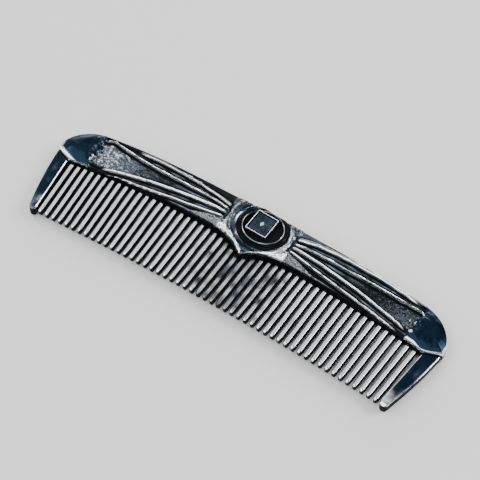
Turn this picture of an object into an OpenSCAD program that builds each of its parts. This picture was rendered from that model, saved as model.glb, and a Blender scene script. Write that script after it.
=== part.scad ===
// Metal beard comb with a relief spine, separately set teeth and a central medallion.
// It lies on its flat back: +X along the comb, +Y from the teeth to the spine, +Z out of the relief side.
// The origin is under the middle of the comb, on the surface that it rests on.

/* [Comb] */
// Overall length
comb_len = 109; // [108:0.5:112]
// Overall height, from the tips of the end guards to the top of the spine
comb_h = 30.3; // [30.1:0.1:31]
// Distance from the tip line of the middle tooth down to the tips of the end guards
guard_drop = 1.9; // [1.5:0.1:2.2]

/* [Teeth] */
// Spacing of the teeth at their tips
tooth_pitch = 1.88; // [1.86:0.01:1.9]
// Width of one tooth
tooth_w = 1.1; // [0.9:0.05:1.15]
// Thickness of one tooth, front to back
tooth_t = 2; // [1.6:0.1:2.2]
// Radius of the shallow arc that the tips stand on
tip_arc_r = 775; // [600:25:1000]
// Outward lean of the outermost teeth, in degrees
end_lean = 5.4; // [4.5:0.1:5.8]
// How far the hand-set teeth wander from an even lean, in degrees
lean_wander = 1.3; // [0:0.1:1.6]
// Length of a tooth that is held inside the spine
root_len = 3.6; // [3:0.2:4]

/* [Spine] */
// Thickness of the back shell
back_t = 1.3; // [1:0.1:1.6]
// Height of the relief's floor at the middle of the comb
floor_z = 4.8; // [4.5:0.1:5]
// Height of the ridges above the floor
ridge_h = 0.8; // [0.5:0.1:1]
// Width of a ridge
ridge_w = 0.8; // [0.6:0.1:1]
// Depth of the keel that dips into the teeth
keel_depth = 4; // [3:0.1:4.2]
// Thickness of an end guard
guard_t = 3; // [2.6:0.1:3.2]

/* [Medallion] */
// How far the two fans of ridges and the swell between them are set off from the middle of the comb
crest_x = 1.3; // [1:0.1:1.5]
// How far the medallion is set off from the middle of the comb
medal_x = 2; // [1.5:0.1:2.2]
// Half width of the oval bezel
bezel_rx = 5.85; // [5.5:0.05:5.9]
// Half height of the oval bezel
bezel_ry = 4.95; // [4.8:0.05:5]
// Width of the bezel's ring
bezel_w = 0.8; // [0.6:0.05:0.85]
// Width of the plaque
plaque_w = 5.8; // [5:0.1:6]
// Height of the plaque
plaque_h = 6; // [5.4:0.1:6.2]

/* [Hidden] */
TEETH = 51;
SIDE_TEETH = (TEETH - 1) / 2;
FIXED_NODES = ["front_shell", "back_shell", "tooth_carrier", "left_end_guard", "right_end_guard",
               "medallion_bezel", "medallion_plate", "plaque", "rivets"];

half_len = comb_len / 2;
half_h = comb_h / 2;
y0 = guard_drop - half_h;      // where the middle tooth's tip stands
tooth_z = back_t;              // back of the teeth
tooth_front = back_t + tooth_t;
fit_gap = 0.03;                // clearance of a tooth or a tang in its slot

// Spine outline, as heights above the middle tooth's tip
neck_y = 17.6;                 // lower edge at the middle, if there were no keel
neck_fall = 2.7;               // how much lower that edge is at the last tooth
neck_x = 48.5;                 // where the last tooth enters the spine
keel_w = 4.1;
keel_x = 1;                    // where the keel's point hangs
keel_rim_w = 0.9;              // raised rim along the keel
keel_rim_h = 0.6;
keel_rim_half = 12;
seam_x = 49.5;                 // where the joint above an end guard starts to rise
seam_rise = 2.83;
top_y = 27.6;                  // upper edge beside the medallion
top_fall = 2.1;
top_x = 48;
crest_rise = comb_h - guard_drop - top_y;
crest_w = 5;
cap_x = 45;                    // where the rounded end of the spine starts
cap_y = 17.6;                  // its lowest point

// Relief
bow_drop = 0.8;                // how much lower the relief is at cap_x than in the middle
ridge_in = 9.8;                // ridges start this far from the crest
ridge_out = [43, 44, 42.5, 41];
collar_w = 0.9;
dome_in = 44.6;                // inner edge of an end dome
dome_x = 48.4;                 // its highest point
dome_y = 20.2;
dome_z = 5.1;
dome_r = 14;                   // radius of its curve

// Inside of the spine
carrier_half = 50.2;
carrier_h = 6.2;
carrier_inset = 0.4;
tang_in = 51.3;
tang_out = 53.1;
tang_y = 18.6;

// End guard
guard_z = 0.7;
guard_tip_r = 1.05;
guard_tip_x = 49.3;
guard_foot_x = 50.3;
guard_in_x = 50.35;
guard_top_x = 54.3;
guard_bulge = 0.4;
seam_gap = 0.15;

// Medallion
medal_y = 22.9;
seat_z = 4.6;
bezel_h = 1.1;
plate_t = 0.5;
plaque_t = 1.5;
plaque_at = [-0.6, 0.45];     // the plaque is set a little off the middle of the oval
plaque_turn = -2;
plaque_rim = 0.55;
plaque_sink = 0.35;
boss_w = 1.9;

// Rivets: places along the comb, and how far above the neck line they stand
rivet_r = 0.6;
rivet_head_r = 1.1;
rivet_head_h = 0.6;
rivet_top = 3.75;
rivet_x = [14, 30, 44];
rivet_up = 5.1;
tang_rivet_x = 52.2;
tang_rivet_y = 17.4;

function tooth_name(i) = str("tooth_", i < 10 ? "0" : "", i);
function neck(x) = neck_y - neck_fall * pow(abs(x) / neck_x, 3);
function keel(x) = keel_depth * exp(-pow(abs(x - keel_x) / keel_w, 1.15));
function seam(x) = seam_rise * pow(max(0, abs(x) - seam_x) / (half_len - seam_x), 1.5);
function lower(x) = neck(x) - keel(x) + seam(x);
function crest(x) = crest_rise * exp(-pow((x - crest_x) / crest_w, 2));
function shoulder(x) = top_y - top_fall * pow(abs(x) / top_x, 3.5) + crest(x);
function cap(x) = sqrt(max(0, 1 - pow(max(0, abs(x) - cap_x) / (half_len - cap_x), 2.3)));
function upper(x) = cap_y + (shoulder(x) - cap_y) * cap(x);

// Lean of tooth number k, counted from the middle one: an even fan, and a slow hand-set wander
function lean(k) = end_lean * k / SIDE_TEETH + lean_wander * sin(10 * k + 105);
function tip_x(k) = k * tooth_pitch;
function tip_y(k) = -pow(tip_x(k), 2) / (2 * tip_arc_r);
function tooth_len(k) = (neck(tip_x(k)) + root_len - tip_y(k)) / cos(lean(k));

// The four ridges of a fan, by distance a from the crest. The two fans are not quite alike.
function along(a, out) = max(0, (a - ridge_in) / (out - ridge_in));
function ridge(i, a, s) =
    let (left = s < 0, off = a - ridge_in)
    i == 0 ? upper(crest_x + s * a) - 0.8 - (left ? 2.3 * exp(-off / 10) : 1.9 * exp(-off / 6)) :
    i == 1 ? 23.8 - 0.5 * exp(-pow(off / 2.5, 2)) + (left ? 1.15 : -0.3) * pow(max(0, a - 30) / 14, 1.5) :
    i == 2 ? 22.15 - (left ? 5.6 : 4.8) * pow(along(a, 43.3), 1.6) :
             (left ? 20.7 : 20.95) - 4.9 * pow(along(a, 41.6), 0.95);

// Stations along the comb, closer together towards its ends, where the outline turns
function stations(n) = [for (i = [-n:n]) half_len * sin(90 * i / n)];
function keel_stations(half, n) = [for (j = [-n:n]) keel_x + half * j / n];

module in_frame() translate([0, y0, 0]) children();

module band(xs, low, high) {
    n = len(xs) - 1;
    polygon(concat([for (i = [0:n]) [xs[i], low[i]]], [for (i = [n:-1:0]) [xs[i], high[i]]]));
}

module spine_outline() {
    xs = concat([for (x = stations(36)) if (x < keel_x - 6.2) x], keel_stations(6, 12),
                [for (x = stations(36)) if (x > keel_x + 6.2) x]);
    band(xs, [for (x = xs) lower(x)], [for (x = xs) upper(x)]);
}

module carrier_band(grow, down) {
    half = carrier_half + grow;
    xs = [for (i = [-24:24]) half * i / 24];
    band(xs, [for (x = xs) lower(x) + carrier_inset - down], [for (x = xs) neck(x) + carrier_h + grow]);
}

module oval(rx, ry) polygon([for (i = [0:47]) [rx * cos(7.5 * i), ry * sin(7.5 * i)]]);

module slab(z, h) translate([0, 0, z]) linear_extrude(h) children();

// A long shallow bow over the comb: what stands under it is lower towards the ends
module bow(top) rotate([90, 0, 0]) linear_extrude(2 * comb_h, center = true) {
    xs = stations(18);
    band(xs, [for (x = xs) 0], [for (x = xs) top - bow_drop * pow(x / cap_x, 2)]);
}

module place_tooth(k) translate([tip_x(k), tip_y(k), 0]) rotate(-lean(k)) children();

module tooth(k) {
    r = tooth_w / 2;
    color("gainsboro") in_frame() place_tooth(k) intersection() {
        slab(tooth_z, tooth_t) {
            translate([-r, r]) square([tooth_w, tooth_len(k) - r]);
            translate([0, r]) circle(r = r, $fn = 32);
        }
        translate([0, tooth_len(k), tooth_z]) rotate([90, 0, 0]) linear_extrude(tooth_len(k)) {
            translate([-r, 0]) square([tooth_w, tooth_t - r]);
            translate([0, tooth_t - r]) circle(r = r, $fn = 32);
        }
    }
}

module tooth_slot(k) {
    slot_w = tooth_w + 2 * fit_gap;
    place_tooth(k) translate([-slot_w / 2, 0]) square([slot_w, tooth_len(k) + fit_gap]);
}

module tooth_carrier() color("dimgray") in_frame() difference() {
    slab(tooth_z, tooth_t) difference() {
        carrier_band(0, 0);
        for (k = [-SIDE_TEETH:SIDE_TEETH]) tooth_slot(k);
    }
    rivet_holes();
}

module rivet_places() for (s = [-1, 1]) {
    for (x = rivet_x) translate([s * x, neck(x) + rivet_up, 0]) children();
    translate([s * tang_rivet_x, tang_rivet_y, 0]) children();
}

module rivet_shape() {
    cylinder(r = rivet_r, h = rivet_top, $fn = 32);
    cylinder(r1 = rivet_head_r, r2 = rivet_r, h = rivet_head_h, $fn = 32);
}

module rivet_holes() rivet_places() rivet_shape();

module rivets() color("silver") in_frame() rivet_places() rivet_shape();

module back_shell() color("slategray") in_frame() difference() {
    slab(0, back_t) spine_outline();
    rivet_holes();
}

module ridge_strip(i, s) {
    n = 14;
    as = [for (j = [0:n]) ridge_in + (ridge_out[i] - ridge_in) * j / n];
    xs = [for (a = as) crest_x + s * a];
    ys = [for (a = as) ridge(i, a, s)];
    band(xs, [for (y = ys) y - ridge_w / 2], [for (y = ys) y + ridge_w / 2]);
}

module collar(s) {
    x = crest_x + s * (ridge_in - collar_w / 2);
    translate([x - collar_w / 2, ridge(3, ridge_in, s) - 0.8]) square([collar_w, 5.4]);
}

module keel_rim() {
    xs = keel_stations(keel_rim_half, 24);
    band(xs, [for (x = xs) lower(x)], [for (x = xs) lower(x) + keel_rim_w]);
}

module dome(s) intersection() {
    slab(tooth_front, 3) spine_outline();
    translate([s * dome_x, dome_y, dome_z - dome_r]) sphere(r = dome_r, $fn = 96);
    translate([s > 0 ? dome_in : -dome_in - 2 * cap_y, 0, 0]) cube(2 * cap_y);
}

module tang(s, grow) {
    x = s > 0 ? tang_in : -tang_out;
    foot = lower(tang_in) - 0.5;
    translate([x - grow, foot]) square([tang_out - tang_in + 2 * grow, tang_y - foot + grow]);
}

module front_shell() color("lightslategray") in_frame() difference() {
    union() {
        intersection() {
            slab(back_t, floor_z) spine_outline();
            bow(floor_z);
        }
        intersection() {
            slab(tooth_front, 4) for (s = [-1, 1]) {
                for (i = [0:3]) ridge_strip(i, s);
                collar(s);
            }
            bow(floor_z + ridge_h);
        }
        intersection() {
            slab(tooth_front, 4) keel_rim();
            bow(floor_z + keel_rim_h);
        }
        for (s = [-1, 1]) dome(s);
    }
    slab(back_t - 1, 1 + tooth_t) {
        carrier_band(fit_gap, 4);
        for (s = [-1, 1]) tang(s, fit_gap);
    }
    slab(seat_z, 3) translate([medal_x, medal_y]) oval(bezel_rx + fit_gap, bezel_ry + fit_gap);
    slab(seat_z - plate_t, 3) translate([medal_x, medal_y]) oval(bezel_rx - bezel_w, bezel_ry - bezel_w);
    rivet_holes();
}

module guard_outline() {
    n = 10;
    top = lower(guard_top_x) - seam_gap;
    foot = guard_tip_r - guard_drop;
    outer = [for (i = [0:n]) let (t = i / n)
        [guard_foot_x + (guard_top_x - guard_foot_x) * t + guard_bulge * sin(180 * t), foot + (top - foot) * t]];
    seam_line = [for (i = [0:n]) let (x = guard_top_x + (guard_in_x - guard_top_x) * i / n)
        [x, lower(x) - seam_gap]];
    polygon(concat([[guard_tip_x - guard_tip_r, foot]], outer, seam_line));
    translate([guard_tip_x, foot]) circle(r = guard_tip_r, $fn = 32);
}

module end_guard(s) in_frame() difference() {
    union() {
        slab(guard_z, guard_t) mirror([s < 0 ? 1 : 0, 0]) guard_outline();
        slab(tooth_z, tooth_t) tang(s, 0);
    }
    rivet_holes();
}

module left_end_guard() color("slategray") end_guard(-1);

module right_end_guard() color("slategray") end_guard(1);

module at_medallion() in_frame() translate([medal_x, medal_y, 0]) children();

module medallion_bezel() color("silver") at_medallion() {
    slab(seat_z, bezel_h) difference() {
        oval(bezel_rx - 0.2, bezel_ry - 0.2);
        oval(bezel_rx - bezel_w, bezel_ry - bezel_w);
    }
    slab(seat_z, bezel_h / 2) difference() {
        oval(bezel_rx, bezel_ry);
        oval(bezel_rx - 0.3, bezel_ry - 0.3);
    }
}

module medallion_plate() color("darkslategray") at_medallion()
    slab(seat_z - plate_t, plate_t) oval(bezel_rx - bezel_w - fit_gap, bezel_ry - bezel_w - fit_gap);

module plaque() color("silver") at_medallion() intersection() {
    translate(plaque_at) rotate(plaque_turn) {
        difference() {
            slab(seat_z, plaque_t) square([plaque_w, plaque_h], center = true);
            slab(seat_z + plaque_t - plaque_sink, 1)
                square([plaque_w - 2 * plaque_rim, plaque_h - 2 * plaque_rim], center = true);
        }
        slab(seat_z, plaque_t) rotate(45) square(boss_w, center = true);
    }
    slab(seat_z, plaque_t) oval(bezel_rx - bezel_w - fit_gap, bezel_ry - bezel_w - fit_gap);
}

front_shell();
back_shell();
tooth_carrier();
left_end_guard();
right_end_guard();
medallion_bezel();
medallion_plate();
plaque();
rivets();
for (i = [1:TEETH]) tooth(i - 1 - SIDE_TEETH);
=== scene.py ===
# %% [markdown]
# # A silver beard comb
# The comb is a spine of two shells with fifty-one separate teeth between them. Its front is a sculpted
# relief: four ridges fan out on each side of an oval medallion, and a smooth dome closes each end. The
# CAD frame says where every piece lies, and this file makes the pieces that are seen and their metal.

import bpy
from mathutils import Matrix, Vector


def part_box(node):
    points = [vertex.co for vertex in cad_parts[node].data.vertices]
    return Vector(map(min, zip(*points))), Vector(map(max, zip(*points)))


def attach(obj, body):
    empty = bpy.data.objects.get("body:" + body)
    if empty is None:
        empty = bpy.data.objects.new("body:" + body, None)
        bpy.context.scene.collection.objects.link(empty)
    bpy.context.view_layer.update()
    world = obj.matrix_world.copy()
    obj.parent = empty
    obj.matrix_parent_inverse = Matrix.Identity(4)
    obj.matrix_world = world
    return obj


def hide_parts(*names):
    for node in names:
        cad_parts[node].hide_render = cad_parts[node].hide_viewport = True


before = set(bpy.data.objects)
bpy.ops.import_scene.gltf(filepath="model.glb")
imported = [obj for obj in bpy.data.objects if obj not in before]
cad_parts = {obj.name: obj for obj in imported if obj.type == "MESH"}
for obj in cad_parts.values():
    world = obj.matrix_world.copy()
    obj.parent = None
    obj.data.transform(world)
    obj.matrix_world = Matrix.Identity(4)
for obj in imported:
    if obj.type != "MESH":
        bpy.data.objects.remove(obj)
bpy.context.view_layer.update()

# %% Modules
import math

import bmesh
import bpy
from mathutils import Matrix, Vector, noise

# %% [markdown]
# ## Measures
# Small metalwork is easiest to think about in millimetres, so every shape below is built in millimetres
# and scaled to metres at the very end. The places come from the frame: the tip of the middle tooth is
# the point that the outline of the spine is measured from.

# %% Measures from the frame
MM = 0.001


def box_mm(node):
    """The lowest and highest corner of a CAD node, in millimetres."""
    low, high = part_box(node)
    return low / MM, high / MM


shell_low, shell_high = box_mm("front_shell")
tooth_low, tooth_high = box_mm("tooth_26")
guard_low, guard_high = box_mm("right_end_guard")
bezel_low, bezel_high = box_mm("medallion_bezel")
plate_low, plate_high = box_mm("medallion_plate")
plaque_low, plaque_high = box_mm("plaque")
HALF_LEN = shell_high.x
TIP_Y = tooth_low.y
BACK_Z = shell_low.z
TOOTH_Z = tooth_high.z
MEDAL = (bezel_low + bezel_high) / 2
MEDAL_UP = MEDAL.y - TIP_Y
CREST_X = 1.3
print("half length", round(HALF_LEN, 2), "tip line", round(TIP_Y, 2), "medallion at", round(MEDAL.x, 2))

# %% Easing helpers


def smooth(value, low, high):
    """0 below low, 1 above high, and an eased step between them."""
    share = min(1.0, max(0.0, (value - low) / (high - low)))
    return share * share * (3 - 2 * share)


def mix(a, b, share):
    return a + (b - a) * share


def bell(value, width):
    """A soft bump that is 1 at zero and fades out over width."""
    return math.exp(-((value / width) ** 2))


# %% [markdown]
# ## The outline
# The lower edge of the spine falls gently towards the ends and dips in a keel under the medallion. The
# upper edge is nearly straight, swells over the medallion and rounds off into the domes. Both are short
# laws along x, the same ones that the CAD part follows, so the new shell fits the frame.

# %% Outline of the spine
NECK_Y, NECK_FALL, NECK_X = 17.6, 2.7, 48.5
KEEL_DEPTH, KEEL_W, KEEL_X = 4.0, 4.1, 1.0
SEAM_X, SEAM_RISE = 49.5, 2.83
TOP_Y, TOP_FALL, TOP_X = 27.6, 2.1, 48.0
CREST_RISE, CREST_W = shell_high.y - TIP_Y - TOP_Y, 5.0
CAP_X, CAP_Y = 45.0, 17.6


def neck(x):
    return NECK_Y - NECK_FALL * (abs(x) / NECK_X) ** 3


def lower(x):
    keel = KEEL_DEPTH * math.exp(-((abs(x - KEEL_X) / KEEL_W) ** 1.15))
    seam = SEAM_RISE * (max(0.0, abs(x) - SEAM_X) / (HALF_LEN - SEAM_X)) ** 1.5
    return neck(x) - keel + seam


def upper(x):
    shoulder = TOP_Y - TOP_FALL * (abs(x) / TOP_X) ** 3.5 + CREST_RISE * bell(x - CREST_X, CREST_W)
    cap = math.sqrt(max(0.0, 1 - (max(0.0, abs(x) - CAP_X) / (HALF_LEN - CAP_X)) ** 2.3))
    return CAP_Y + (shoulder - CAP_Y) * cap


def steepness(curve, x, reach=0.05):
    """How much a slanted edge shortens a distance that is measured straight up."""
    slope = (curve(x + reach) - curve(x - reach)) / (2 * reach)
    return 1 / math.hypot(1, slope)


# %% [markdown]
# ## The four ridges
# On the real comb they are rounded wires of metal that leave a collar beside the medallion and fan out
# towards the dome. Each one is a height above the tip line, as a law of its distance from the crest.

# %% Ridges
RIDGE_IN, RIDGE_OUT = 9.8, 46.6
RIDGE_END = {-1: (39.5, 46.8, 44.6, 43.6), 1: (44.6, 46.6, 44.6, 43.4)}
RIDGE_FADE = (6.0, 1.6, 5.0, 6.0)
RIDGE_H = (0.75, 0.95, 0.9, 0.75)
RIDGE_W = {-1: (0.32, 0.35, 0.35, 0.25), 1: (0.42, 0.37, 0.34, 0.28)}


def along(a, out):
    return max(0.0, (a - RIDGE_IN) / (out - RIDGE_IN))


def ridge_law(number, x):
    """Height of ridge 0 to 3, from the top one down, at x. The two fans are not quite alike."""
    a = min(max(abs(x - CREST_X), RIDGE_IN), RIDGE_OUT)
    left, off = x < CREST_X, a - RIDGE_IN
    if number == 0:
        dip = 2.3 * math.exp(-off / 10) if left else 1.9 * math.exp(-off / 6)
        return upper(CREST_X + math.copysign(min(a, 43), x - CREST_X)) - 0.8 - dip
    if number == 1:
        lift = (1.15 if left else -0.3) * (max(0.0, a - 30) / 14) ** 1.5
        curl = (0.2 if left else 0.5) * max(0.0, a - 43.8) ** 2
        return 23.8 - 0.5 * bell(off, 2.5) + lift - curl
    if number == 2:
        return 22.15 - (5.6 if left else 4.8) * along(min(a, 44), 43.3) ** 1.6
    return (20.7 if left else 20.95) - 4.9 * along(min(a, 44), 41.6) ** 0.95


def ridge_y(number, x):
    """The same ridge with the slight sway of handwork."""
    sway = noise.noise(Vector((x * 0.22, 5.0 * number, 1.3)))
    return ridge_law(number, x) + 0.1 * sway * smooth(RIDGE_OUT - abs(x), 0, 2)


def ridges_at(x):
    """For each ridge at x: its height, its slant, its strength from 0 to 1, and its half width."""
    a, side = abs(x - CREST_X), -1 if x < CREST_X else 1
    found = []
    for number in range(4):
        out = RIDGE_END[side][number]
        strength = smooth(a, RIDGE_IN - 0.75, RIDGE_IN + 0.15) * (1 - smooth(a, out - RIDGE_FADE[number], out))
        swell = 1 + 0.2 * noise.noise(Vector((x * 0.35, 9.0 * number, 4.1)))
        if number == 3:
            swell *= mix(1.0, 0.75, smooth(a, 18, 32))
        half = RIDGE_W[side][number] * swell * (0.45 + 0.55 * math.sqrt(strength))
        slant = steepness(lambda at: ridge_y(number, at), x)
        found.append((ridge_y(number, x), slant, strength, half))
    return found


print("ridge heights beside the collar:", [round(ridge_y(n, CREST_X + RIDGE_IN), 2) for n in range(4)])

# %% [markdown]
# ## The relief
# A sculptor would chase this surface with small punches. Here it is a height for every point of the
# spine: ridges with grooves painted dark beside them, strands and pebbles in the hollows, a hammered field
# round the medallion, and the two domes. The same law says how polished, how oxidised and how blue each
# point is. Partly that is wear, since on rubbed silver the colour follows the shape, and partly it is
# painted light: painted highlights on crests and rims, painted shade in grooves, hollows and walls, and a
# painted dark blue reflection on the domes.

# %% Surface texture
FLOOR_Z, BOW_DROP = 4.75, 0.8
DOME_IN, DOME_TOP, DOME_EDGE = 44.9, 5.15, TOOTH_Z + 0.5
DOME_REACH = 4.4


def pebbles(x, y, size):
    """1 in the middle of a small round pebble, 0 in the joints between pebbles."""
    near = noise.voronoi(Vector((x / size, y / size, 0.5)))[0]
    return smooth(near[1] - near[0], 0.02, 0.5)


def facet(x, y, size):
    """A hammered facet: how bright it is, a painted glint from 0 to 1, and how far it stands out."""
    near = noise.voronoi(Vector((x / size, y / size, 3.5)))
    centre = near[1][0]
    bright = noise.noise(centre * 7.3) * 0.9 + 0.5
    tilt = (x / size - centre.x) * noise.noise(centre * 3.1) + (y / size - centre.y) * noise.noise(centre * 5.7)
    return bright, tilt + 0.25 * noise.noise(centre * 9.9), smooth(near[0][1] - near[0][0], 0.0, 0.16)


def strands(x, y):
    """Fine raised threads that run along the comb."""
    return noise.noise(Vector((x * 0.45, y * 2.6, 7.7)))


# %% Fan of ridges
def fan_relief(x, y, ridges, low, up):
    """The stretch between crest and dome: height above the floor, polish, hollow and hammering. The bright and dark
    marks are partly painted highlight and painted shade.
    """
    a = abs(x - CREST_X)
    heights = [r[0] for r in ridges]
    rise, polish_and_highlight, hollow, hammer = -0.12, 0.0, 1.0, 0.0
    # Above the top ridge the slope is painted dark as shade, lighter further up.
    if y > heights[0]:
        out = (y - heights[0]) / (up - heights[0])
        slope = smooth(out, 0.15, 0.6) * mix(0.3, 1.0, smooth(x, 5, 10))
        rise += 0.3 - 0.15 * out * out
        hollow, polish_and_highlight = mix(0.98, 0.35, slope), 0.1 * strands(x, y)
    elif heights[2] < y < heights[1]:
        share = (y - heights[2]) / (heights[1] - heights[2])
        open_end, bright_end = smooth(a, 24, 36), smooth(a, 31, 42)
        lit, out, joint = facet(x, y, mix(0.55, 0.75, bright_end))
        thread = strands(x, y)
        ribbon = bell(share - 0.58, 0.22) * (1 - open_end)
        rise -= 0.3 * (1 - (2 * share - 1) ** 2) * smooth(a, 12, 26)
        rise += 0.3 * out * open_end + 0.18 * ribbon + 0.1 * thread
        rise += 0.35 * smooth(a, 39, 45)
        border = smooth(min(share, 1 - share), 0.02, 0.14)
        # The hammered facets carry painted glints, and the field is darker on the right fan than on the left.
        polish_and_highlight = (mix(0.05, 0.35, bright_end) + 0.45 * bright_end * (lit - 0.4)) * open_end * joint * border
        polish_and_highlight *= 0.2 if x > 0 else 1.0
        polish_and_highlight += (0.05 + 0.3 * thread) * ribbon
        hollow = mix(1 - 0.6 * ribbon - 0.4 * thread * ribbon, 0.45 - 0.4 * bright_end, open_end)
        hollow += (0.4 * (1 - joint) + 1 - border + (0.35 if x > 0 else 0.0)) * open_end
        hammer = open_end
    elif y > heights[3]:
        between = (heights[0], heights[1]) if y > heights[1] else (heights[2], heights[3])
        share = (y - between[1]) / (between[0] - between[1])
        ribbon, thread = bell(share - 0.5, 0.2), strands(x, y)
        rise += 0.2 * ribbon + 0.12 * thread - 0.12
        polish_and_highlight, hollow = 0.3 * thread * ribbon, 1 - (0.5 + 0.5 * thread) * ribbon
    else:
        # Under the lowest ridge a thin bright line along the lower edge is a painted highlight, and the rest is
        # painted shade.
        edge = y - low
        rim = smooth(a, 30, 17)
        wing = 0.34 * max(0.0, 17.5 - a)
        line = smooth(edge, 0.02, 0.2) * smooth(edge, wing + 0.5, wing + 0.3) * rim
        rise += mix(-0.25, 0.5, line) + 0.08 * strands(x, y)
        polish_and_highlight, hollow, hammer = mix(0.4, 0.36, min(1.0, wing)) * line, max(1 - smooth(line, 0.2, 0.8), 0.3 * min(1.0, wing)), min(0.9, 0.9 * wing)
    # Each ridge's crest is rubbed bright, partly a painted highlight, and the groove beside it is painted shade.
    for height, slant, strength, half in ridges:
        away = abs(y - height) * slant
        wire = max(0.0, 1 - (away / half) ** 2)
        groove = bell(max(0.0, away - half - 0.32), 0.15) * smooth(away, half - 0.1, half) * strength
        rise += math.sqrt(wire) * strength * RIDGE_H[heights.index(height)] - 0.4 * groove
        polish_and_highlight = max(polish_and_highlight * (1 - groove), smooth(wire, 0.05, 0.6) * strength)
        hollow = max(hollow * (1 - smooth(wire, 0.0, 0.4) * strength), groove)
        hammer *= 1 - wire * strength
    return rise, polish_and_highlight, hollow, hammer


# %% Field round the medallion
MOAT_W = 0.42


def crest_relief(x, y, ridges, low, up):
    """The middle of the spine: height above the floor, polish, hollow, hammering and blueing."""
    a = abs(x - CREST_X)
    oval_x, oval_y = (bezel_high.x - bezel_low.x) / 2, (bezel_high.y - bezel_low.y) / 2
    reach = math.hypot((x - MEDAL.x) / oval_x, (y - MEDAL_UP) / oval_y)
    outside = (reach - 1) * (oval_x + oval_y) / 2
    if outside < 0:
        return bezel_low.z - FLOOR_Z - 0.05, 0.0, 1.0, 0.0, 0.0
    turn = math.atan2(y - MEDAL_UP, x - MEDAL.x)
    flow = noise.noise(Vector((1.8 * math.cos(turn), 1.8 * math.sin(turn), outside * 2.1)))
    beside = smooth(a, 5.0, 8.0)
    lowdown = smooth(MEDAL_UP - y, -2.5, 3.0)
    # Beside the medallion the field is brighter lower down and bluer higher up.
    rise = 0.35 + 0.25 * flow + 0.2 * beside
    polish_and_highlight = 0.15 + 0.5 * beside * lowdown + 0.8 * flow
    hollow = 0.25 - 0.35 * beside - 0.6 * flow
    blue, hammer = mix(0.6, 0.15, beside) - 0.5 * flow + 0.3 * (1 - lowdown), mix(0.3, 0.8, beside)
    # Below the medallion the metal is painted dark blue, tarnish and a painted dark reflection, with streaks.
    under = smooth(MEDAL_UP - oval_y + 1.5 - y, 0, 0.8) * smooth(abs(x - KEEL_X - 1), 5.4, 3.4)
    rise = mix(rise, 0.2 + 0.08 * flow, under)
    streak = smooth(flow, 0.05, 0.3)
    polish_and_highlight, hollow = mix(polish_and_highlight, 0.2 * streak, under), mix(hollow, 0.15 - 0.3 * flow, under)
    blue = mix(blue, 0.95 - 0.6 * streak, under)
    # The bright rim along the lower edge, whose width changes beside the keel, is wear and a painted highlight.
    edge = (y - low) * steepness(lower, x)
    beyond = x - KEEL_X
    wide = mix(0.34, 0.7, smooth(-beyond, 1, 8)) if beyond < 0 else mix(0.18, 0.75, smooth(beyond, 2.5, 7.5))
    rim = bell(edge - 0.12 - wide, wide)
    rise += 0.4 * rim
    polish_and_highlight, hollow, blue = max(polish_and_highlight, 0.9 * rim), hollow * (1 - rim), blue * (1 - rim)
    # Along the upper edge the metal turns duller and bluer, and a thin line beside the crest is a painted highlight.
    top = smooth(up - y, 1.2, 0.0)
    rise -= 0.25 * top * top
    line = bell(up - y - 0.3, 0.16) * smooth(a, 6.5, 4.5)
    rise += 0.15 * line
    polish_and_highlight, hollow, blue = mix(polish_and_highlight, 0.15, top), mix(hollow, 0.1, top), mix(blue, 0.6, top)
    polish_and_highlight, hollow = max(polish_and_highlight, 0.7 * line), hollow * (1 - line)
    # The moat round the bezel and the ditch beside each collar are painted dark as shade.
    moat = bell(outside - 0.36, MOAT_W)
    rise -= 0.6 * moat
    polish_and_highlight, hollow = polish_and_highlight * (1 - moat), max(hollow, moat)
    waist = smooth(y, ridges[3][0] - 1.0, ridges[3][0] - 0.4) * smooth(y, ridges[0][0] + 1.0, ridges[0][0] + 0.4)
    uneven = 0.5 * noise.noise(Vector((x * 0.3, y * 1.3, 2.2)))
    ditch = bell(a - RIDGE_IN + 0.85 + uneven, 0.34) * waist
    rise -= 0.4 * ditch
    polish_and_highlight, hollow = polish_and_highlight * (1 - ditch), max(hollow, ditch)
    return rise, polish_and_highlight, hollow, hammer, blue


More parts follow.
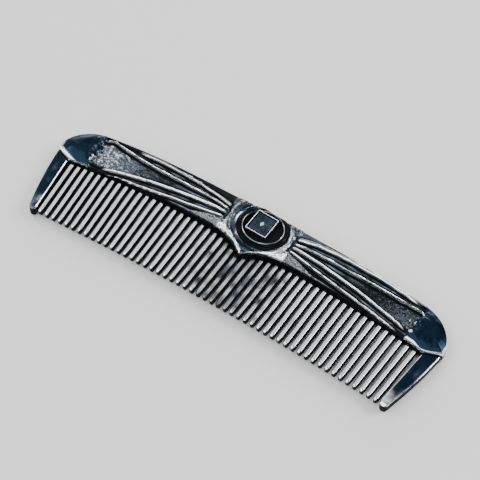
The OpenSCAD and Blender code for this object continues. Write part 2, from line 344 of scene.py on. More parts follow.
# %% Domes and the whole surface
def relief(x, y, ridges, low, up):
    """Height of the front of the spine at (x, y) in millimetres, and its four marks."""
    a = abs(x - CREST_X)
    floor = FLOOR_Z - BOW_DROP * (x / CAP_X) ** 2
    crest = smooth(a, RIDGE_IN - 0.2, RIDGE_IN - 0.8)
    ragged = noise.noise(Vector((x * 0.5, y * 0.9, 6.1))) + 0.6 * noise.noise(Vector((x * 1.7, y * 1.9, 2.6)))
    inner = DOME_IN + 1.2 * smooth(y, 21, 25) + 1.1 * ragged * smooth(y, 16, 18)
    dome = smooth(abs(x), inner - 0.45, inner + 0.45)
    rise, polish_and_highlight, hollow, hammer, blue = 0.0, 0.0, 0.0, 0.0, 0.25
    if crest < 1 and dome < 1:
        rise, polish_and_highlight, hollow, hammer = fan_relief(x, y, ridges, low, up)
    if crest > 0:
        middle = crest_relief(x, y, ridges, low, up)
        fan = (rise, polish_and_highlight, hollow, hammer, blue)
        rise, polish_and_highlight, hollow, hammer, blue = (mix(p, q, crest) for p, q in zip(fan, middle))
    z = floor + rise
    edge = min((y - low) * steepness(lower, x), (up - y) * steepness(upper, x), HALF_LEN - abs(x))
    if dome > 0:
        share = min(1.0, max(0.0, edge) / DOME_REACH)
        top = DOME_EDGE + (DOME_TOP - DOME_EDGE) * math.sqrt(1 - (1 - share) ** 2)
        top -= 0.45 * bell(abs(x) - inner, 1.6) * share
        cloud = noise.noise(Vector((x * 0.42, y * 0.42, 8.1)))
        top += 0.06 * cloud + 0.03 * noise.noise(Vector((x * 1.2, y * 1.2, 1.1)))
        # The bright rim round each dome is wear and a painted highlight, laid as the light falls: on the left dome
        # only along its lower edge. The rest of the dome is painted dark blue, tarnish and a painted dark reflection.
        foot = smooth(y, 19.5, 18)
        if x < 0:
            wide = mix(0.35, 1.4, smooth(-x, 48, 50.5))
            wear_and_highlight = 0.8 * smooth(edge, wide, 0.35 * wide) * foot
        else:
            wide = mix(mix(1.0, 0.5, smooth(x, 47, 49.5)), 0.5, 1 - foot)
            wear_and_highlight = smooth(edge, wide, 0.4 * wide)
        fleck = smooth(noise.noise(Vector((x * 1.05, y * 1.05, 3.9))), 0.25, 0.45) * smooth(abs(x), 47.5, 45)
        wear_and_highlight = max(wear_and_highlight, 0.7 * fleck)
        z = mix(z, top, dome)
        polish_and_highlight, hollow = mix(polish_and_highlight, max(0.95 * wear_and_highlight, 0.02 + 0.2 * cloud), dome), mix(hollow, 0.0, dome)
        blue, hammer = mix(blue, (1 - wear_and_highlight) * (0.92 - 0.4 * cloud), dome), mix(hammer, 0.1 + 0.5 * fleck, dome)
    fillet = 0.3
    round_off = max(0.0, fillet - max(0.0, edge))
    z -= fillet - math.sqrt(fillet * fillet - round_off * round_off)
    return z, polish_and_highlight, hollow, blue, hammer


# %% [markdown]
# ## From a flat grid to a lofted shell
# The shell is a tube of cross-sections: each one runs across the relief, down the outer wall, under the
# rim and back through the pocket that holds the teeth. A grid is a quick way to such a tube, because
# moving its vertices onto the sections keeps every face in order, and welding the first row to the last
# closes it.

# %% Loft helper
# The four marks, in order: rubbed silver with painted highlight, oxide with painted shade, blue tarnish with a painted
# dark reflection, and hammering.
MARKS = ("polish_and_highlight", "hollow", "blue_tarnish_and_reflection", "hammering")


def loft(rings):
    """A closed skin through rings of (x, y, z, marks), all with the same number of points."""
    across, along = len(rings[0]), len(rings) - 1
    bm = bmesh.new()
    layers = [bm.verts.layers.float.new(mark) for mark in MARKS]
    bmesh.ops.create_grid(bm, x_segments=along, y_segments=across, size=1)
    for vert in bm.verts:
        station = round((vert.co.x + 1) / 2 * along)
        step = round((vert.co.y + 1) / 2 * across) % across
        point = rings[station][step]
        vert.co = point[:3]
        for layer, value in zip(layers, point[3:]):
            vert[layer] = value
    bmesh.ops.remove_doubles(bm, verts=bm.verts, dist=1e-5)
    bmesh.ops.holes_fill(bm, edges=bm.edges, sides=0)
    return bm


# %% Finishing a piece
SHARP = math.radians(40)


def finish_piece(bm, name, material, slot, *nodes):
    """Turns a millimetre shape, built above the tip line, into a piece that rides in the frame."""
    bmesh.ops.translate(bm, vec=(0, TIP_Y, 0), verts=bm.verts)
    bmesh.ops.scale(bm, vec=(MM, MM, MM), verts=bm.verts)
    bmesh.ops.recalc_face_normals(bm, faces=bm.faces)
    for face in bm.faces:
        face.smooth = True
    for edge in bm.edges:
        edge.smooth = edge.calc_face_angle(0) < SHARP
    mesh = bpy.data.meshes.new(name)
    bm.to_mesh(mesh)
    bm.free()
    mesh.materials.append(material)
    piece = bpy.data.objects.new(name, mesh)
    bpy.context.scene.collection.objects.link(piece)
    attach(piece, "root")
    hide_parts(*nodes)
    return piece


# %% [markdown]
# ## The metal
# All of the comb is one metal, silver with a blue-black tarnish. What differs is how much of it was
# polished away, and on top of that painted light: painted highlights, painted shade and a painted dark
# blue reflection. One node group does the mixing for every piece: it takes the three marks that were laid
# on the vertices, breaks up their borders with noise, and gives colour, roughness and a scratch height.

# %% Node helpers


def link(tree, source, target):
    tree.links.new(source, target)


def node(tree, kind, **settings):
    made = tree.nodes.new(kind)
    for name, value in settings.items():
        setattr(made, name, value)
    return made


def math_node(tree, operation, a, b=None):
    """One sum on two numbers or sockets, and its result."""
    made = node(tree, "ShaderNodeMath", operation=operation, use_clamp=operation == "MULTIPLY_ADD")
    for socket, value in zip(made.inputs, (a, b)):
        if isinstance(value, (int, float)):
            socket.default_value = value
        elif value is not None:
            link(tree, value, socket)
    return made.outputs[0]


def ease(tree, value, low, high):
    """The same eased step as smooth(), in nodes."""
    made = node(tree, "ShaderNodeMapRange", interpolation_type="SMOOTHSTEP")
    link(tree, value, made.inputs["Value"])
    made.inputs["From Min"].default_value = low
    made.inputs["From Max"].default_value = high
    return made.outputs["Result"]


def blend_colour(tree, share, a, b):
    made = node(tree, "ShaderNodeMix", data_type="RGBA")
    link(tree, share, made.inputs["Factor"])
    for socket, value in zip((made.inputs[6], made.inputs[7]), (a, b)):
        if isinstance(value, tuple):
            socket.default_value = (*value, 1)
        else:
            link(tree, value, socket)
    return made.outputs[2]


def noise_node(tree, position, scale, detail=3.0, roughness=0.55, stretch=None):
    if stretch:
        mapping = node(tree, "ShaderNodeMapping")
        mapping.inputs["Scale"].default_value = stretch
        link(tree, position, mapping.inputs["Vector"])
        position = mapping.outputs["Vector"]
    made = node(tree, "ShaderNodeTexNoise")
    link(tree, position, made.inputs["Vector"])
    made.inputs["Scale"].default_value = scale
    made.inputs["Detail"].default_value = detail
    made.inputs["Roughness"].default_value = roughness
    return made.outputs["Fac"]


# %% Tarnish group
def build_tarnish():
    """The node group that every metal of the comb shares."""
    tree = bpy.data.node_groups.new("tarnish", "ShaderNodeTree")
    face = tree.interface
    for name in ("Position", "Bright", "Middle", "Blue", "Black"):
        kind = "NodeSocketVector" if name == "Position" else "NodeSocketColor"
        face.new_socket(name, in_out="INPUT", socket_type=kind)
    for name in ("Polish_and_highlight", "Hollow", "Blue_tarnish_and_reflection", "Hammering", "Dark_breakup"):
        face.new_socket(name, in_out="INPUT", socket_type="NodeSocketFloat")
    face.new_socket("Color", in_out="OUTPUT", socket_type="NodeSocketColor")
    for name in ("Roughness", "Metallic", "Height"):
        face.new_socket(name, in_out="OUTPUT", socket_type="NodeSocketFloat")
    given = node(tree, "NodeGroupInput").outputs
    result = node(tree, "NodeGroupOutput").inputs
    cloud = noise_node(tree, given["Position"], 260, 4, 0.6)
    grain = noise_node(tree, given["Position"], 2400, 3, 0.6)
    coarse = math_node(tree, "ADD", 0.15, math_node(tree, "MULTIPLY", given["Hammering"], 2.4))
    scratch = noise_node(tree, given["Position"], 900, 2, 0.5, (1.0, 0.12, 1.0))
    broken = math_node(tree, "ADD", math_node(tree, "MULTIPLY", math_node(tree, "SUBTRACT", cloud, 0.5), 0.7),
                       math_node(tree, "MULTIPLY", math_node(tree, "SUBTRACT", grain, 0.5), coarse))
    # shine is polish with painted highlight, the black mix is oxide with painted shade, and blue is tarnish with a
    # painted dark reflection.
    shine = ease(tree, math_node(tree, "ADD", given["Polish_and_highlight"], broken), 0.25, 0.7)
    oxide_and_shade = ease(tree, math_node(tree, "ADD", given["Hollow"], math_node(tree, "MULTIPLY", broken, given["Dark_breakup"])), 0.2, 0.8)
    blue = ease(tree, math_node(tree, "ADD", given["Blue_tarnish_and_reflection"], math_node(tree, "MULTIPLY", broken, 0.7)), 0.2, 0.85)
    colour = blend_colour(tree, blue, given["Middle"], given["Blue"])
    colour = blend_colour(tree, shine, colour, given["Bright"])
    colour = blend_colour(tree, oxide_and_shade, colour, given["Black"])
    rough = math_node(tree, "ADD", math_node(tree, "MULTIPLY", grain, 0.2), 0.16)
    rough = math_node(tree, "ADD", rough, math_node(tree, "MULTIPLY", oxide_and_shade, 0.3))
    rough = math_node(tree, "SUBTRACT", rough, math_node(tree, "MULTIPLY", shine, 0.05))
    # The black mix of oxide and painted shade is not metallic, so it stays dark under any lamp.
    metallic = math_node(tree, "SUBTRACT", 1.0, oxide_and_shade)
    height = math_node(tree, "ADD", math_node(tree, "MULTIPLY", scratch, 0.5), math_node(tree, "MULTIPLY", cloud, 0.8))
    dent = math_node(tree, "MULTIPLY", math_node(tree, "MULTIPLY", grain, given["Hammering"]), 2.0)
    height = math_node(tree, "ADD", height, dent)
    link(tree, colour, result["Color"])
    link(tree, rough, result["Roughness"])
    link(tree, metallic, result["Metallic"])
    link(tree, height, result["Height"])
    return tree


TARNISH = build_tarnish()

# %% Colours of the metal
# BRIGHT is polished silver, also used for painted highlights; NAVY is blue tarnish and a painted dark reflection; the
# black is oxide and painted shade.
BRIGHT = (0.84, 0.87, 0.88)
MIDDLE = (0.095, 0.12, 0.15)
NAVY = (0.007, 0.017, 0.031)
BLACK_OXIDE_AND_SHADE = (0.004, 0.005, 0.006)


def attribute(tree, name):
    made = node(tree, "ShaderNodeAttribute", attribute_name=name)
    return made.outputs["Fac"]


def silver(name, bright=BRIGHT, middle=MIDDLE, blue=NAVY, black=BLACK_OXIDE_AND_SHADE, marks=None, dark_breakup=1.0, bump=0.25):
    """A tarnished silver. marks gives fixed polish, hollow and blueing to pieces that carry no marks."""
    material = bpy.data.materials.new(name)
    material.use_nodes = True
    tree = material.node_tree
    shader = tree.nodes["Principled BSDF"]
    shader.inputs["Specular IOR Level"].default_value = 0.06
    group = node(tree, "ShaderNodeGroup", node_tree=TARNISH)
    link(tree, node(tree, "ShaderNodeTexCoord").outputs["Object"], group.inputs["Position"])
    for socket, colour in (("Bright", bright), ("Middle", middle), ("Blue", blue), ("Black", black)):
        group.inputs[socket].default_value = (*colour, 1)
    for number, mark in enumerate(MARKS):
        socket = group.inputs[mark.capitalize()]
        if marks:
            socket.default_value = marks[number] if number < len(marks) else 0.0
        else:
            link(tree, attribute(tree, mark), socket)
    group.inputs["Dark_breakup"].default_value = dark_breakup
    link(tree, group.outputs["Color"], shader.inputs["Base Color"])
    link(tree, group.outputs["Roughness"], shader.inputs["Roughness"])
    link(tree, group.outputs["Metallic"], shader.inputs["Metallic"])
    dents = node(tree, "ShaderNodeBump")
    dents.inputs["Strength"].default_value = bump
    dents.inputs["Distance"].default_value = 0.1 * MM
    link(tree, group.outputs["Height"], dents.inputs["Height"])
    link(tree, dents.outputs["Normal"], shader.inputs["Normal"])
    return material


relief_silver = silver("relief_silver")
# The teeth's blue-grey middle colour is tarnish and a painted blue-grey reflection.
tooth_silver = silver("tooth_silver", middle=(0.42, 0.47, 0.53), dark_breakup=0.5, bump=0.35)
guard_silver = silver("guard_silver", dark_breakup=0.5, bump=0.15)
bezel_silver = silver("bezel_silver")
# The medallion floor is painted nearly black: oxide and painted shade in the bezel's recess.
plate_black = silver("plate_black", marks=(0.05, 0.9, 0.2), bump=0.5)
plaque_silver = silver("plaque_silver")
back_silver = silver("back_silver", middle=(0.42, 0.45, 0.49), marks=(0.35, 0.0, 0.25), bump=0.3)
# The strip between the teeth is painted nearly black as shade between the teeth.
inner_silver = silver("inner_silver", marks=(0.0, 0.85, 0.0), bump=0.3)
rivet_silver = silver("rivet_silver", marks=(0.7, 0.0, 0.0), bump=0.3)

# %% [markdown]
# ## The front shell
# Rows of vertices run along the comb and bunch up beside each ridge, so that a round wire gets ten
# rows and an open hollow only a few. A modeller would call these edge loops that follow the form.

# %% Rows across the relief
NEAR = (0.1, 0.2, 0.29, 0.38, 0.5, 0.75)
FILL = (12, 4, 26, 4, 3)


def rows_between(low, high, fill):
    """Heights of the rows from one ridge to the next, bunched at both."""
    squeeze = min(1.0, (high - low) / 1.5)
    near = [squeeze * step for step in NEAR]
    start, stop = low + near[-1], high - near[-1]
    inner = [mix(start, stop, (i + 1) / (fill + 1)) for i in range(fill)]
    return [low] + [low + step for step in near] + inner + [high - step for step in reversed(near)]


def rows_at(x):
    """Every row's height at x, from the lower edge to the upper one."""
    low, up = lower(x), upper(x)
    turn = math.copysign(min(abs(x), RIDGE_OUT), x)
    base, tall = lower(turn), upper(turn) - lower(turn)
    shares = [(ridge_y(number, turn) - base) / tall for number in (3, 2, 1, 0)]
    anchors = [low] + [low + (up - low) * share for share in shares] + [up]
    rows = []
    for number, fill in enumerate(FILL):
        rows += rows_between(anchors[number], anchors[number + 1], fill)
    return rows + [up]


# %% Cross-section of the shell
CARRIER_END, CARRIER_H = 50.25, 6.25
TANG_END, TANG_Y = 53.2, 18.65
LIP = 0.12


def shell_ring(x):
    """One cross-section of the front shell at x, as a closed ring."""
    low, up = lower(x), upper(x)
    ridges = ridges_at(x)
    ring = []
    for y in rows_at(x):
        z, *marks = relief(x, y, ridges, low, up)
        ring.append((x, y, z, *marks))
    top_z, foot_z = ring[-1][2], ring[0][2]
    if abs(x) < TANG_END:
        roof = TOOTH_Z
        inside = neck(x) + CARRIER_H if abs(x) < CARRIER_END else TANG_Y
    else:
        roof = BACK_Z
        inside = mix(low, up, 0.6)
    inside = min(inside, up - 0.4)
    # The outer wall gets some polish; the back of the rim, the pocket and the low wall over the teeth are painted
    # nearly black as shade.
    ring += [(x, up, mix(top_z, BACK_Z, share), 0.35, 0.1, 0.4) for share in (0.3, 0.6)]
    ring += [(x, up, BACK_Z + LIP, 0.3, 0.3, 0.3), (x, up - LIP, BACK_Z, 0.0, 0.8, 0.0)]
    ring += [(x, inside, BACK_Z, 0.0, 1.0, 0.0), (x, inside - 0.1, roof, 0.0, 1.0, 0.0)]
    ring += [(x, low + 0.05, roof, 0.0, 1.0, 0.0)]
    ring += [(x, low, mix(roof, foot_z, share), 0.0, mix(1.0, 0.75, share), 0.0) for share in (0.1, 0.5, 0.85)]
    return ring


# %% Front shell
BODY_STATIONS, CAP_STATIONS, BODY_END = 560, 26, 50.0


def shell_stations():
    """Places along the comb: even over the body, closer and closer round the ends."""
    body = [mix(-BODY_END, BODY_END, i / BODY_STATIONS) for i in range(BODY_STATIONS + 1)]
    cap = [BODY_END + (HALF_LEN - BODY_END) * math.sin(math.pi / 2 * i / CAP_STATIONS)
           for i in range(1, CAP_STATIONS + 1)]
    return [-x for x in reversed(cap)] + body + cap


front = finish_piece(loft([shell_ring(x) for x in shell_stations()]), "front_relief",
                     relief_silver, "relief_metal", "front_shell")
print("front relief:", len(front.data.polygons), "faces")

# %% [markdown]
# ## The teeth
# Each tooth is a filed bar: flat at the back, half-round at the front, with a rounded tip. A circle is
# pressed into that section and extruded up the tooth ring by ring, and every ring is a little different,
# because these bars were made by hand. The CAD node of each tooth says where it starts and ends.

# %% Tooth
TOOTH_RINGS, NECK_SHADE = 20, 0.75
FRONT_STEPS = 10
TOOTH_T = tooth_high.z - tooth_low.z
CROWN = 0.24


def ends_of(name):
    """Middle of the tip and of the root of a CAD tooth, in millimetres above the tip line."""
    places = [vert.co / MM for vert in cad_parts[name].data.vertices]
    reach = [min(p.y for p in places), max(p.y for p in places)]
    found = []
    for end in reach:
        near = [p for p in places if abs(p.y - end) < 0.25]
        found.append(Vector((sum(p.x for p in near) / len(near), end - TIP_Y)))
    return found


def tooth_section(half):
    """The tooth's section as points (out, up, dark, core): a crowned front, upright sides and a flat back. dark is
    painted shade on the flanks and sides.
    """
    side_z = TOOTH_T - CROWN
    front = []
    for step in range(FRONT_STEPS + 1):
        out = math.cos(math.pi * step / FRONT_STEPS)
        # The flanks of the crown and the sides are painted dark as shade.
        dark = smooth(abs(out), 0.5, 0.95)
        front.append((half * out, side_z + CROWN * (1 - out ** 4), dark, 1 - abs(out)))
    left = [(-half, side_z - drop, 1.0, 0.0) for drop in (0.12, 0.7, side_z - 0.15)]
    right = [(half, height, 1.0, 0.0) for height in (0.15, side_z - 0.7, side_z - 0.12)]
    return front + left + [(-half + 0.12, 0, 0.4, 0.0), (half - 0.12, 0, 0.4, 0.0)] + right


def tooth_ring(share, tip, root, seed, width, neck_dark):
    """One ring of a tooth, from share 0 at the tip to 1 at the root. neck_dark 1 is the part in the step's shadow,
    painted dark.
    """
    along_tooth = (root - tip).length * share
    half = width / 2 * (1 + 0.06 * noise.noise(Vector((along_tooth * 0.3, seed, 0.4))))
    half *= 0.94 + 0.06 * smooth(along_tooth, 0, 6)
    tip_round = math.sqrt(1 - (1 - min(1.0, (along_tooth + 0.05) / 0.55)) ** 2)
    sway = 0.05 * noise.noise(Vector((along_tooth * 0.16, seed, 8.8)))
    centre = tip.lerp(root, share)
    aim = (root - tip).normalized()
    patch = noise.noise(Vector((along_tooth * 0.45, seed, 5.5)))
    ring = []
    for out, z, dark, core in tooth_section(half):
        z = mix(TOOTH_T * 0.55, z, 0.55 + 0.45 * tip_round)
        out = out * tip_round + sway
        x, y = centre.x + aim.y * out, centre.y - aim.x * out
        # The teeth near the middle are painted duller and darker, a painted dim reflection.
        dim_reflection = 0.05 + bell(x - 4, 13) * (0.42 + 0.3 * core)
        polish_and_highlight = (1 - dim_reflection + 0.4 * patch) * (1 - dark) * (1 - neck_dark)
        ring.append((x, y, tooth_low.z + z, polish_and_highlight, max(neck_dark, dark, 0.4 * bell(x - 4, 13)), 0.45 - 0.5 * patch))
    return ring


def tooth_shares(tip, root):
    """Shares of the rings: close together at the tip, and two just below the step to end the bright part where the
    painted shadow of the step begins.
    """
    step_y = lower(root.x) - NECK_SHADE
    bright_end = (step_y - tip.y) / (root.y - tip.y)
    body = [bright_end * (i / TOOTH_RINGS) ** 1.6 for i in range(TOOTH_RINGS + 1)]
    return [(share, 0.0) for share in body] + [(bright_end + 0.008, 1.0), (1.0, 1.0)]


teeth = []
for number in range(1, 52):
    name = f"tooth_{number:02d}"
    tip, root = ends_of(name)
    seed = 3.7 * number
    width = 1.1 * (1 + 0.07 * noise.noise(Vector((seed, 0.0, 2.0))))
    rings = [tooth_ring(share, tip, root, seed, width, shade) for share, shade in tooth_shares(tip, root)]
    teeth.append(finish_piece(loft(rings), f"filed_{name}", tooth_silver, "tooth_metal", name))
print("teeth:", len(teeth), "of", len(teeth[0].data.polygons), "faces each")

# %% [markdown]
# ## The end guards
# The broad wedges outside the teeth protect them in a pocket. Their inner side is a wide filed bevel,
# their face is nearly flat, and the tip is rounded and rubbed bright, with a painted highlight on it.

# %% Guard
GUARD_STEPS, GUARD_RINGS = 16, 40
GUARD_IN_TOP, GUARD_OUT_TOP = 50.35, 54.3
GUARD_TIP_X, GUARD_TIP_R = 49.3, 1.05
GUARD_BULGE, SEAM_GAP = 0.4, 0.15
GUARD_FOOT = guard_low.y - TIP_Y + GUARD_TIP_R


def guard_place(across, along_guard):
    """A point of the guard's face: across from its inner to its outer edge, along it from tip to seam."""
    inner = mix(GUARD_TIP_X - GUARD_TIP_R, GUARD_IN_TOP, along_guard)
    outer = mix(GUARD_TIP_X + GUARD_TIP_R, GUARD_OUT_TOP, along_guard) + GUARD_BULGE * math.sin(math.pi * along_guard)
    x = mix(inner, outer, across)
    from_middle = (2 * across - 1) * 0.999
    bottom = GUARD_FOOT - GUARD_TIP_R * math.sqrt(1 - from_middle ** 2)
    top = lower(mix(GUARD_IN_TOP, GUARD_OUT_TOP, across)) - SEAM_GAP
    return x, mix(bottom, top, along_guard)


def guard_ring(along_guard, side, pinch=0.0):
    """One ring of a guard: over the face, then back behind it. pinch 1 presses it flat, to close an end."""
    wide = mix(2 * GUARD_TIP_R, GUARD_OUT_TOP - GUARD_IN_TOP, along_guard)
    ease_tip = 0.8 + 0.2 * math.sqrt(smooth(along_guard, -0.012, 0.05))
    ease_top = 1 - 0.12 * smooth(along_guard, 0.975, 1.0)
    ring = []
    thick = guard_high.z - guard_low.z
    middle_z = guard_low.z + 0.45 * thick
    for step in range(GUARD_STEPS + 1):
        across = (1 - math.cos(math.pi * step / GUARD_STEPS)) / 2
        x, y = guard_place(across, along_guard)
        inner, outer = across * wide, (1 - across) * wide
        face = 0.1 * (1 - smooth(inner, 0, 0.35)) + 0.1 * (1 - smooth(outer, 0, 0.35)) + 0.04 * across
        z = guard_high.z - thick * (1 - (1 - face) * ease_tip * ease_top) * 0.8
        cloud = noise.noise(Vector((x * 0.55, y * 0.35, 4.4 * side))) + 0.3 * noise.noise(Vector((x * 1.4, y, 6.1)))
        # The bright tip and edge lines are wear and a painted highlight, stronger on the right guard's tip; the blue
        # face is tarnish and a painted dark reflection.
        tip_share = min(1.0, max(0.0, 1 - along_guard / mix(0.5, 0.3, across)))
        tip_wear_and_highlight = 0.06 + (0.65 if side > 0 else 0.35) * tip_share
        near_side, far_side = (0.55, 0.7) if side > 0 else (0.85, 0.3)
        lines = max(near_side * smooth(inner, 0.28, 0.14), far_side * smooth(outer, 0.3, 0.14))
        wear_and_highlight = max(lines, tip_wear_and_highlight + 0.14 * cloud)
        # The seam under the dome, the side walls and the edges of the back are painted dark as shade.
        seam = smooth(along_guard, 0.985, 1.0)
        wall = 1.0 if step in (0, GUARD_STEPS) or pinch else 0.0
        ring.append((side * x, y, mix(z, middle_z, pinch), wear_and_highlight * (1 - seam) * (1 - wall), max(0.9 * seam, wall),
                     0.9 - wear_and_highlight - 0.25 * cloud))
    for step in range(GUARD_STEPS, -1, -1):
        across = (1 - math.cos(math.pi * step / GUARD_STEPS)) / 2
        x, y = guard_place(across, along_guard)
        near = min(across, 1 - across) * wide / 0.5
        z = guard_low.z + 0.2 * thick * (1 - math.sqrt(1 - max(0.0, 1 - near) ** 2)) + 0.12 * thick * (1 - ease_tip)
        z = mix(z, middle_z, pinch)
        wall = max(smooth(near, 0.6, 0.1), smooth(along_guard, 0.06, 0.02), pinch)
        ring.append((side * x, y, z, 0.4 * (1 - wall), wall, 0.4))
    return ring


def guard_share(number):
    return (1 - math.cos(math.pi * number / GUARD_RINGS)) / 2


for side, name in ((-1, "left_end_guard"), (1, "right_end_guard")):
    rings = [guard_ring(guard_share(i), side) for i in range(GUARD_RINGS + 1)]
    rings = [guard_ring(0, side, 1.0), guard_ring(0, side, 0.12)] + rings + [guard_ring(1, side, 1.0)]
    guard = finish_piece(loft(rings), f"worn_{name}", guard_silver, "guard_metal", name)
print("end guard:", len(guard.data.polygons), "faces")

# %% [markdown]
# ## The bezel
# A jeweller turns a ring like this from wire. The section, a low outer wire and a taller inner one with a
# groove between them, is spun round the vertical axis, and the ring is then pressed into an oval.

# %% Bezel
OVAL = ((bezel_high.x - bezel_low.x) / 2, (bezel_high.y - bezel_low.y) / 2)
BEZEL_SECTION = ((0.0, 0.0), (0.0, 0.33), (-0.07, 0.42), (-0.18, 0.45), (-0.27, 0.38), (-0.31, 0.27), (-0.36, 0.36),
                 (-0.4, 0.73), (-0.47, 0.91), (-0.58, 1.0), (-0.7, 0.93), (-0.78, 0.76), (-0.82, 0.45), (-0.84, 0.0))
BEZEL_POLISH = (0, 0, 0.15, 0.2, 0, 0, 0, 0.2, 0.7, 1, 0.8, 0.4, 0, 0)


def press_oval(bm):
    """Presses a round shape into the medallion's oval and puts it in its place."""
    bmesh.ops.scale(bm, vec=(1, OVAL[1] / OVAL[0], 1), verts=bm.verts)
    bmesh.ops.translate(bm, vec=(MEDAL.x, MEDAL_UP, 0), verts=bm.verts)


def build_bezel():
    bm = bmesh.new()
    layers = [bm.verts.layers.float.new(mark) for mark in MARKS]
    verts = []
    tall = bezel_high.z - bezel_low.z
    for (out, up), polish_and_highlight in zip(BEZEL_SECTION, BEZEL_POLISH):
        vert = bm.verts.new((OVAL[0] + out, 0, bezel_low.z + up * tall))
        # The polished tops of the wires are rubbed bright; the sides and the groove between them are painted dark as
        # shade.
        vert[layers[0]], vert[layers[1]], vert[layers[2]] = polish_and_highlight, 1 - 1.4 * polish_and_highlight, 0.2
        verts.append(vert)
    edges = [bm.edges.new((verts[i - 1], verts[i])) for i in range(len(verts))]
    bmesh.ops.spin(bm, geom=verts + edges, axis=(0, 0, 1), cent=(0, 0, 0), angle=math.tau, steps=128, use_merge=True)
    bmesh.ops.remove_doubles(bm, verts=bm.verts, dist=1e-4)
    for vert in bm.verts:
        # One side of the ring gets more polish, a painted highlight where the light falls.
        toward_light = (0.5 * vert.co.x - 0.87 * vert.co.y) / OVAL[0]
        vert[layers[0]] *= mix(0.35, 1.2, smooth(toward_light, -0.5, 0.6))
    press_oval(bm)
    return bm


bezel = finish_piece(build_bezel(), "oval_bezel", bezel_silver, "bezel_metal", "medallion_bezel")
print("bezel:", len(bezel.data.polygons), "faces")

# %% [markdown]
# ## The medallion's floor
# A plain oxidised disc, painted nearly black as oxide and as shade in its recess. Insets draw two shallow steps into
# it, so that its edge catches a little light.

# %% Floor plate
def build_plate():
    bm = bmesh.new()
    radius = (plate_high.x - plate_low.x) / 2
    disc = bmesh.ops.create_circle(bm, cap_ends=True, segments=96, radius=radius)
    face = bm.faces[:][0]
    bmesh.ops.translate(bm, vec=(0, 0, plate_high.z - 0.12), verts=disc["verts"])
    for thickness, depth in ((0.08, 0.06), (0.3, 0.0), (0.12, -0.06), (0.6, 0.0)):
        bmesh.ops.inset_region(bm, faces=[face], thickness=thickness, depth=depth, use_even_offset=True)
    rim = [edge for edge in bm.edges if edge.is_boundary]
    grown = bmesh.ops.extrude_edge_only(bm, edges=rim)["geom"]
    bmesh.ops.translate(bm, vec=(0, 0, plate_low.z - plate_high.z + 0.12),
                        verts=[g for g in grown if isinstance(g, bmesh.types.BMVert)])
    bmesh.ops.holes_fill(bm, edges=bm.edges, sides=0)
    press_oval(bm)
    return bm


plate = finish_piece(build_plate(), "oval_floor", plate_black, "plate_metal", "medallion_plate")
print("floor plate:", len(plate.data.polygons), "faces")

# %% [markdown]
# ## The plaque
# A square block with a thin bright border, a sunk margin and a raised panel. Inset and extrude make the
# steps from one face, and a bevel takes the razor edges off. A plain lozenge stands in its middle.

# %% Plaque
PLAQUE_W, PLAQUE_H, PLAQUE_TURN, PLAQUE_AT = 5.8, 6.0, math.radians(-2), (-0.6, 0.45)
PLAQUE_STEPS = ((0.26, 0.0), (0.08, -0.34), (0.42, 0.0), (0.08, 0.2))
LOZENGE_R, LOZENGE_H = 1.0, 0.16


def mark_by_height(bm, low, high, panel):
    """Lays polish on what stands above high, painted shade on what lies below low, and a blue panel between them that
    is tarnish and a painted dark reflection.
    """
    layers = [bm.verts.layers.float.get(mark) or bm.verts.layers.float.new(mark) for mark in MARKS]
    for vert in bm.verts:
        share = smooth(vert.co.z, low, high)
        flat = bell(vert.co.z - panel, 0.03)
        vert[layers[0]], vert[layers[1]] = max(share, 0.02 * flat), (1 - share) * (1 - flat)
        vert[layers[2]], vert[layers[3]] = 0.6 * flat, 0.4 * flat


def build_plaque():
    bm = bmesh.new()
    thick = plaque_high.z - plaque_low.z
    bmesh.ops.create_cube(bm, size=1)
    bmesh.ops.scale(bm, vec=(PLAQUE_W, PLAQUE_H, thick), verts=bm.verts)
    bmesh.ops.translate(bm, vec=(0, 0, plaque_low.z + thick / 2), verts=bm.verts)
    top = max(bm.faces, key=lambda face: face.calc_center_median().z)
    for thickness, depth in PLAQUE_STEPS:
        bmesh.ops.inset_region(bm, faces=[top], thickness=thickness, depth=depth)
    sharp = [edge for edge in bm.edges if edge.calc_face_angle(0) > SHARP]
    bmesh.ops.bevel(bm, geom=sharp, offset=0.05, offset_type="OFFSET", segments=3, profile=0.5, affect="EDGES",
                    clamp_overlap=True, material=-1)
    panel_z = plaque_high.z - 0.34 + 0.2
    stud = bmesh.ops.create_cone(bm, cap_ends=True, segments=4, radius1=LOZENGE_R, radius2=0.35, depth=LOZENGE_H)
    bmesh.ops.scale(bm, vec=(0.8, 1.15, 1), verts=stud["verts"])
    bmesh.ops.translate(bm, vec=(0, 0, panel_z + LOZENGE_H / 2 - 0.04), verts=stud["verts"])
    bmesh.ops.bisect_plane(bm, geom=bm.verts[:] + bm.edges[:] + bm.faces[:], dist=1e-4,
                           plane_co=(0, 0, plaque_high.z - 0.14), plane_no=(0, 0, 1))
    mark_by_height(bm, plaque_high.z - 0.12, plaque_high.z - 0.06, panel_z)
    bmesh.ops.rotate(bm, cent=(0, 0, 0), matrix=Matrix.Rotation(PLAQUE_TURN, 3, "Z"), verts=bm.verts)
    bmesh.ops.translate(bm, vec=(MEDAL.x + PLAQUE_AT[0], MEDAL_UP + PLAQUE_AT[1], 0), verts=bm.verts)
    return bm


plaque = finish_piece(build_plaque(), "square_plaque", plaque_silver, "plaque_metal", "plaque")
print("plaque:", len(plaque.data.polygons), "faces")

# %% [markdown]
# ## The back shell
# A plain plate that closes the spine. Its outline and the eight rivet holes are drawn as loops of
# edges, triangle_fill skins the area between them, and one extrusion gives it its thickness.

# %% Back shell
RIVET_R, RIVET_HEAD_R = 0.6, 1.1
RIVET_X, RIVET_UP = (14, 30, 44), 5.1
TANG_RIVET = (52.2, 17.4)
BACK_BEVEL = 0.35


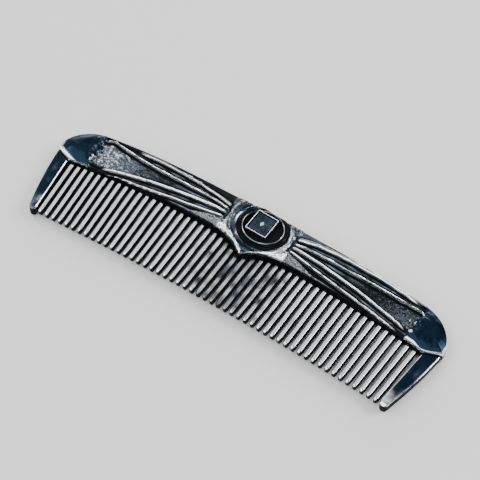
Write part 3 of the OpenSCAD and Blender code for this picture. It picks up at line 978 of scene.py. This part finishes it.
def rivet_places():
    """Where the eight rivets stand, above the tip line."""
    body = [(x, neck(x) + RIVET_UP) for x in RIVET_X] + [TANG_RIVET]
    return [(side * x, y) for side in (-1, 1) for x, y in body]


def outline_points(count=150):
    """The spine's outline as one closed run of points."""
    xs = [HALF_LEN * math.sin(math.pi / 2 * i / count) for i in range(-count, count + 1)]
    return [(x, lower(x)) for x in xs] + [(x, upper(x)) for x in reversed(xs)]


def build_back():
    bm = bmesh.new()
    rim = [bm.verts.new((x, y, 0.03)) for x, y in outline_points()]
    for i in range(len(rim)):
        bm.edges.new((rim[i - 1], rim[i]))
    for x, y in rivet_places():
        ring = bmesh.ops.create_circle(bm, segments=32, radius=RIVET_HEAD_R + 0.02)["verts"]
        bmesh.ops.translate(bm, vec=(x, y, 0.03), verts=ring)
    bmesh.ops.triangle_fill(bm, use_beauty=True, use_dissolve=False, edges=bm.edges[:])
    grown = bmesh.ops.extrude_face_region(bm, geom=bm.faces[:])["geom"]
    bmesh.ops.translate(bm, vec=(0, 0, BACK_Z - 0.03), verts=[g for g in grown if isinstance(g, bmesh.types.BMVert)])
    bmesh.ops.recalc_face_normals(bm, faces=bm.faces)
    under = [edge for edge in bm.edges
             if edge.calc_face_angle(0) > SHARP and all(vert.co.z < 0.1 for vert in edge.verts)
             and not near_rivet(edge.verts[0].co)]
    bmesh.ops.bevel(bm, geom=under, offset=BACK_BEVEL, offset_type="OFFSET", segments=4, profile=0.5,
                    affect="EDGES", clamp_overlap=True, material=-1)
    return bm


def near_rivet(place):
    return any(math.hypot(place.x - x, place.y - y) < RIVET_HEAD_R + 0.1 for x, y in rivet_places())


back = finish_piece(build_back(), "plain_back", back_silver, "back_metal", "back_shell")
print("back shell:", len(back.data.polygons), "faces")

# %% [markdown]
# ## The pieces that stay as they are
# The slotted strip that spaces the teeth and the flush rivets already have their true shape, so they
# only get their metal; the strip's is painted nearly black as shade between the teeth.

# %% CAD nodes that stay
for name, material in (("tooth_carrier", inner_silver), ("rivets", rivet_silver)):
    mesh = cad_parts[name].data
    mesh.materials.clear()
    mesh.materials.append(material)
print("kept CAD nodes: tooth_carrier, rivets")

# %% [markdown]
# ## Floor, light and camera
# Silver shows what is round it, so the studio is part of the finish: a pale floor, one large soft lamp
# high behind the comb whose reflection draws the ridges, and a weaker one from the side of the teeth.

# %% Floor
FLOOR_SIZE = 3.0


def build_floor():
    bm = bmesh.new()
    bmesh.ops.create_grid(bm, x_segments=1, y_segments=1, size=FLOOR_SIZE / 2)
    mesh = bpy.data.meshes.new("floor")
    bm.to_mesh(mesh)
    bm.free()
    floor = bpy.data.objects.new("floor", mesh)
    floor.location.z = -0.00002
    bpy.context.scene.collection.objects.link(floor)
    material = bpy.data.materials.new("pale_floor")
    material.use_nodes = True
    shader = material.node_tree.nodes["Principled BSDF"]
    shader.inputs["Base Color"].default_value = (0.72, 0.72, 0.71, 1)
    shader.inputs["Roughness"].default_value = 0.9
    mesh.materials.append(material)


build_floor()

# %% Light


def area_lamp(name, place, size, power, target=(0, 0, 0)):
    lamp = bpy.data.lights.new(name, "AREA")
    lamp.shape = "RECTANGLE"
    lamp.size, lamp.size_y = size
    lamp.energy = power
    made = bpy.data.objects.new(name, lamp)
    made.location = place
    made.rotation_euler = (Vector(target) - Vector(place)).to_track_quat("-Z", "Y").to_euler()
    bpy.context.scene.collection.objects.link(made)


area_lamp("top_lamp", (-0.15, -0.3, 0.62), (1.2, 0.8), 9)
area_lamp("right_lamp", (0.5, 0.35, 0.45), (0.45, 0.5), 6)
area_lamp("back_lamp", (-0.3, 0.75, 0.25), (0.8, 0.2), 5)
area_lamp("mirror_card", (-0.285, 0.437, 0.8), (1.1, 0.5), 1.8)
area_lamp("left_card", (-0.8, 0.42, 0.38), (0.45, 0.45), 0.9)
area_lamp("left_lamp", (-0.8, -0.25, 0.22), (0.3, 0.3), 1.5)
world = bpy.data.worlds.new("studio")
world.use_nodes = True
world.node_tree.nodes["Background"].inputs["Color"].default_value = (0.16, 0.18, 0.21, 1)
world.node_tree.nodes["Background"].inputs["Strength"].default_value = 0.5
bpy.context.scene.world = world

# %% Camera
AZIMUTH, ELEVATION, DISTANCE = math.radians(32.93), math.radians(56.7), 0.3481
AIM = Vector((-1.49, 18.06 + TIP_Y, TOOTH_Z)) * MM
back_away = Vector((math.sin(AZIMUTH) * math.cos(ELEVATION), -math.cos(AZIMUTH) * math.cos(ELEVATION),
                    math.sin(ELEVATION)))
camera = bpy.data.objects.new("camera", bpy.data.cameras.new("camera"))
camera.data.sensor_width = 36
camera.data.lens = 108.75
camera.data.clip_start, camera.data.clip_end = 0.01, 10
camera.location = AIM + back_away * DISTANCE
camera.rotation_euler = (-back_away).to_track_quat("-Z", "Y").to_euler()
bpy.context.scene.collection.objects.link(camera)
bpy.context.scene.camera = camera
print("camera at", [round(c, 3) for c in camera.location])
